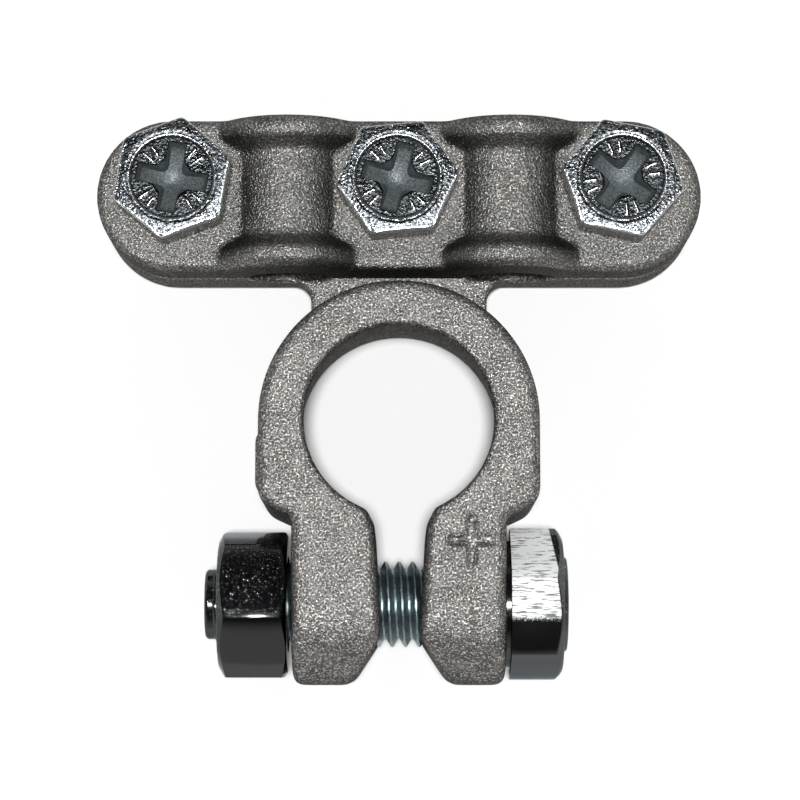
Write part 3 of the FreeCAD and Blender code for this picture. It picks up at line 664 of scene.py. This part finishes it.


# %% [markdown]
# ## Painted light on a screw head
#
# The ribs, the ring round the dish and the hexagon's edge get painted highlights, and the grooves,
# the dish and the sides get painted shade. Each of these lies at a known distance from the head's
# axis or outline, so the painted light is a sum of bells of those distances, kept as one number a
# point.

# %% Painted light on a screw head
def head_painted_light(mesh, x, y, corner, turn):
    """Painted light of each point on a head's top, from how near it lies to a rib, the hexagon's
    edge
    or one of the two grooves round the dish: a bell of each distance, added as painted highlight
    for edges and taken off as painted shade for grooves."""
    across, along, height = (mesh_points(mesh) / MM - (x, y, 0)).T
    radius, angle = np.hypot(across, along), np.arctan2(along, across)
    # Painted highlights on the hexagon's edge and on the ribs.
    rim_at = hexagon(angle, HEAD_FLATS, corner, HEAD_ROUNDING) - 0.07
    rim = bell(rim_at - radius, 0.09)
    rib = ribs(angle, radius, turn) / RIB
    painted_light = np.maximum(rib, 0.8 * rim)
    # Painted shade in the two grooves round the dish, and a painted highlight on the ring between
    # them.
    for ring in (DISH_RADIUS + 0.02, DISH_RADIUS + 0.42):
        painted_light = painted_light - 0.4 * bell(radius - ring, 0.07)
    painted_light = painted_light + 0.4 * bell(radius - DISH_RADIUS - 0.24, 0.08)
    # Painted shade in the dish away from the ribs, and a little on everything half a millimetre or
    # more below the top.
    painted_shade = 0.7 * (radius < DISH_RADIUS) * (1 - rib)
    painted_light = np.where(height > TOP - 0.5, 1.2 * painted_light - painted_shade, -0.25)
    kept = mesh.attributes.new("painted_light", "FLOAT", "POINT")
    kept.data.foreach_set("value", painted_light.astype(np.float32))


# %% [markdown]
# ## Three screws
#
# The same screw stands three times in a row, each screwed home at its own angle. The hexagon's turn
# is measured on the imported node, from its outermost points. The cross has no such points, so its
# turn is given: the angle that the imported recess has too, one for each screw.

# %% Three screws
def cable_screw(name, body, node, x, y, turn):
    """Shows one screw at its place in the row, with its cross turned by so many degrees."""
    corner = corner_turn(node, (x, y), (0, 1))
    head, finish = screw_head(corner, math.radians(turn))
    shank = thread_rings(crest=2.98, depth=0.6, pitch=1.0, start=0.8, end=SEAT + 0.4, point=0.0,
                         fades=(0.7, 0.5), columns=72, per_turn=8)
    for stack in (head, shank):
        stack[..., 0] += x
        stack[..., 1] += y
    mesh = joined_mesh(name, [(head, finish), (shank, THREAD)])
    head_painted_light(mesh, x, y, corner, math.radians(turn))
    print(f"{node}: corner at {math.degrees(corner):.1f} degrees")
    finishes = [forged_face, punched_recess, rolled_thread]
    return show(mesh, body, node, finishes, SHARP_ANGLE)


SCREW_ROW = 22.45
for side, x, turn in (("left", -21.0, -10), ("centre", -0.15, -15), ("right", 20.7, -37)):
    cable_screw(f"screw_{side}_forged", f"screw_{side}", f"cable_screw_{side}", x, SCREW_ROW, turn)

# %% [markdown]
# ## Pinch bolt
#
# The bolt is M8 with a head 13 mm across flats, threaded all the way, and its axis runs along X.
# It is worked out upright like the screws and then laid down: what was the first side becomes Y,
# the second Z, and the axis X. Its collar and its plain point are dark, the head carries the
# painted reflection and the rest is thread, so each row of faces carries the number of its finish.

# %% Pinch bolt
BOLT_FLATS = 13.0
BOLT_ROUNDING = 0.32
BOLT_COLUMNS = 360
AXIS_Y = -16.6
AXIS_Z = 7.5055
COLLAR_RADIUS = 5.9
COLLAR_HEIGHT = 0.4
HEAD_SEAT = 10.25
HEAD_END = 15.15
END_RADIUS = 12.35 / 2
BOLT_START = -17.95
POINT_FINISH_TO = -16.6
PAINTED_REFLECTION_HEAD, ROLLED, GLOSSY = 0, 1, 2


def laid_down(stack):
    """The upright stack with its axis along X at the bolt's place."""
    return np.stack([stack[..., 2], stack[..., 0] + AXIS_Y, stack[..., 1] + AXIS_Z], axis=-1)


def bolt_head(corner):
    """Rings of the bolt's head: the collar, the sides with their soft edges, the bevel that falls
    away from the end's flat, and a raised round in its middle."""
    angle = round_angles(BOLT_COLUMNS)
    side = hexagon(angle, BOLT_FLATS, corner, BOLT_ROUNDING)
    collar_foot = HEAD_SEAT - COLLAR_HEIGHT
    rows = [(0, collar_foot), (COLLAR_RADIUS, collar_foot), (COLLAR_RADIUS, HEAD_SEAT)]
    near = ((0.12, 0), (0.03, 0.05), (0, 0.15), (0, 2.0))
    rows += [(side - inside, HEAD_SEAT + above) for inside, above in near]
    brink = HEAD_END - (side - END_RADIUS) * BEVEL_FALL
    far = ((0, 0.25), (0.03, 0.1), (0.14, 0))
    rows += [(side - inside, np.minimum(brink - below, HEAD_END - 0.02)) for inside, below in far]
    slant = between(side - 0.14, END_RADIUS, 5)
    rows.append((slant, np.minimum(HEAD_END - (slant - END_RADIUS) * BEVEL_FALL, HEAD_END)))
    disc = ((4.75, 0), (4.5, 0.06), (4.4, 0.3), (4.3, 0.42), (4.1, 0.45), (0, 0.45))
    rows += [(radius, HEAD_END + above) for radius, above in disc]
    return stacked(angle, rows)


bolt_corner = corner_turn("pinch_bolt", (AXIS_Y, AXIS_Z), (1, 2))
shank = thread_rings(crest=3.985, depth=0.74, pitch=1.25, start=BOLT_START, end=10.4, point=0.8,
                     fades=(0.8, 0.4), columns=144, per_turn=14)
shank_finish = np.where(shank[:-1, 0, 2] < POINT_FINISH_TO, GLOSSY, ROLLED)
head = bolt_head(bolt_corner)
collar_rows = 3
head_finish = np.where(np.arange(len(head) - 1) < collar_rows, GLOSSY, PAINTED_REFLECTION_HEAD)
bolt_mesh = joined_mesh("pinch_bolt_forged", [(laid_down(head), head_finish),
                                              (laid_down(shank), shank_finish)])
bolt_finishes = [bolt_hexagon, rolled_thread, nut_hexagon]
show(bolt_mesh, "bolt", "pinch_bolt", bolt_finishes, SHARP_ANGLE)
print(f"bolt corner at {math.degrees(bolt_corner):.1f} degrees")

# %% [markdown]
# ## Pinch nut
#
# The nut is a ring: its table of rings starts in the bore, goes over the face at the lug, along the
# six sides and over the outer face, and comes back through the bore, where the first and the last
# ring are welded. Both faces are bevelled by thirty degrees, which cuts each corner to an arc.

# %% Pinch nut
NUT_NEAR = -10.3
NUT_FAR = -16.7
NUT_BORE = 4.05
BORE_BEVEL = 0.45
NEAR_FACE_RADIUS = 6.3
FAR_FACE_RADIUS = 5.9


def nut_rings(corner):
    """Rings of the nut, from the bore near the lug round the outside and back into the bore."""
    angle = round_angles(BOLT_COLUMNS)
    side = hexagon(angle, BOLT_FLATS, corner, BOLT_ROUNDING)
    rows = [(NUT_BORE, NUT_NEAR - 0.5), (NUT_BORE + BORE_BEVEL, NUT_NEAR), (5.5, NUT_NEAR)]
    near = between(5.8, side - 0.14, 5)
    near_slope = np.minimum(NUT_NEAR - (near - NEAR_FACE_RADIUS) * BEVEL_FALL, NUT_NEAR)
    rows.append((near, near_slope))
    rows += [(side - inside, near_slope[-1:] - along) for inside, along in ((0.04, 0.06), (0, 0.2))]
    brink = np.maximum(NUT_FAR + (side - 0.14 - FAR_FACE_RADIUS) * BEVEL_FALL, NUT_FAR)
    outer = ((0, 0.2), (0.04, 0.06), (0.14, 0))
    rows += [(side - inside, brink + along) for inside, along in outer]
    far = between(side - 0.14, 5.4, 6)
    rows.append((far, np.maximum(NUT_FAR + (far - FAR_FACE_RADIUS) * BEVEL_FALL, NUT_FAR)))
    rows += [(NUT_BORE + BORE_BEVEL, NUT_FAR), (NUT_BORE, NUT_FAR + 0.5)]
    rows.append((NUT_BORE, NUT_NEAR - 0.5))
    return stacked(angle, rows)


nut_corner = corner_turn("pinch_nut", (AXIS_Y, AXIS_Z), (1, 2))
nut_mesh = joined_mesh("pinch_nut_forged", [(laid_down(nut_rings(nut_corner)), 0)])
show(nut_mesh, "nut", "pinch_nut", [nut_hexagon], SHARP_ANGLE)
print(f"nut corner at {math.degrees(nut_corner):.1f} degrees")

# %% [markdown]
# ## White table
#
# The clamp lies on a white table, a matt plane that keeps the clamp's shadow. It is thirty metres
# wide, so that its edge is far off when the clamp is looked at from low down.

# %% White table
TABLE_HALF = 15.0


def table_finish():
    """Matt white paint: nearly all light comes back, with no gloss."""
    finish, tree = new_finish("white_table_paint")
    surface = add(tree, "ShaderNodeBsdfPrincipled", Base_Color=linear("#f2f2f2"), Roughness=0.9)
    add(tree, "ShaderNodeOutputMaterial", Surface=surface.outputs["BSDF"])
    return finish


corners = [(x * TABLE_HALF, y * TABLE_HALF, 0) for x, y in ((-1, -1), (1, -1), (1, 1), (-1, 1))]
floor_mesh = bpy.data.meshes.new("floor")
floor_mesh.from_pydata(corners, [], [(0, 1, 2, 3)])
floor_mesh.materials.append(table_finish())
floor = bpy.data.objects.new("floor", floor_mesh)
bpy.context.scene.collection.objects.link(floor)

# %% [markdown]
# ## Lamp
#
# One soft lamp hangs beside the lens, four degrees off the vertical. Tops are bright, walls get
# almost nothing, and each head throws a narrow shadow. Its spread of eight degrees softens that
# shadow's edge and sets how wide a highlight is on the shiny heads. A sun lamp gives the same light
# to the clamp's near and far parts, as a studio lamp a metre away would.

# %% Lamp
def overhead(name, lean, spread, strength):
    """Sun lamp over the clamp, leaning off the vertical by some degrees, softened by its spread."""
    light = bpy.data.lights.new(name, "SUN")
    light.angle = math.radians(spread)
    light.energy = strength
    holder = bpy.data.objects.new(name, light)
    bpy.context.scene.collection.objects.link(holder)
    holder.location = (0, 0, 0.5)
    holder.rotation_euler = (-math.radians(lean), 0, 0)
    return holder


overhead("studio_lamp", lean=-4.0, spread=8.0, strength=3.1)

# %% [markdown]
# ## Room
#
# Bare metal shows what it mirrors. The room is pale near the horizon and dim overhead: the light
# falls from two thirds to a fifteenth of white as the direction's Z, the sine of its height, goes
# from a quarter to two thirds. So a shiny top seen from above is dark, with only the lamp in it,
# and a wall seen from the side mirrors the pale part. A painted gradient does this more evenly
# than soft boxes, and no box shows up in the heads from another side.

# %% Room
world = bpy.data.worlds.new("room")
bpy.context.scene.world = world
world.use_nodes = True
room = world.node_tree
room.nodes.clear()
direction = add(room, "ShaderNodeTexCoord").outputs["Generated"]
upward = add(room, "ShaderNodeSeparateXYZ", Vector=direction)
wall = add(room, "ShaderNodeMapRange", Value=upward.outputs["Z"], From_Min=0.25, From_Max=0.65,
           To_Min=0.65, To_Max=0.07)
sky = add(room, "ShaderNodeBackground", Color=linear("#ffffff"), Strength=wall.outputs["Result"])
add(room, "ShaderNodeOutputWorld", Surface=sky.outputs["Background"])

# %% [markdown]
# ## Camera
#
# The lens is 270 mm above the table and leans back by seven degrees, so a little of the near walls
# is seen. Its focal length is 2808 pixels of a picture 800 pixels wide. Both were found by laying
# the bore, the bar's ends and the heads, which lie at known heights, over the photograph.

# %% Camera
SENSOR_MM = 36.0
FOCAL_PIXELS = 2808
PICTURE_PIXELS = 800
LEAN_BACK = 7

camera_data = bpy.data.cameras.new("camera")
camera_data.sensor_width = SENSOR_MM
camera_data.lens = FOCAL_PIXELS / PICTURE_PIXELS * SENSOR_MM
camera_data.clip_start = 0.01
camera = bpy.data.objects.new("camera", camera_data)
bpy.context.scene.collection.objects.link(camera)
camera.location = (0.0001, -0.0296, 0.2697)
camera.rotation_euler = (math.radians(LEAN_BACK), 0, 0)
bpy.context.scene.camera = camera
bpy.context.scene.view_settings.view_transform = "Standard"
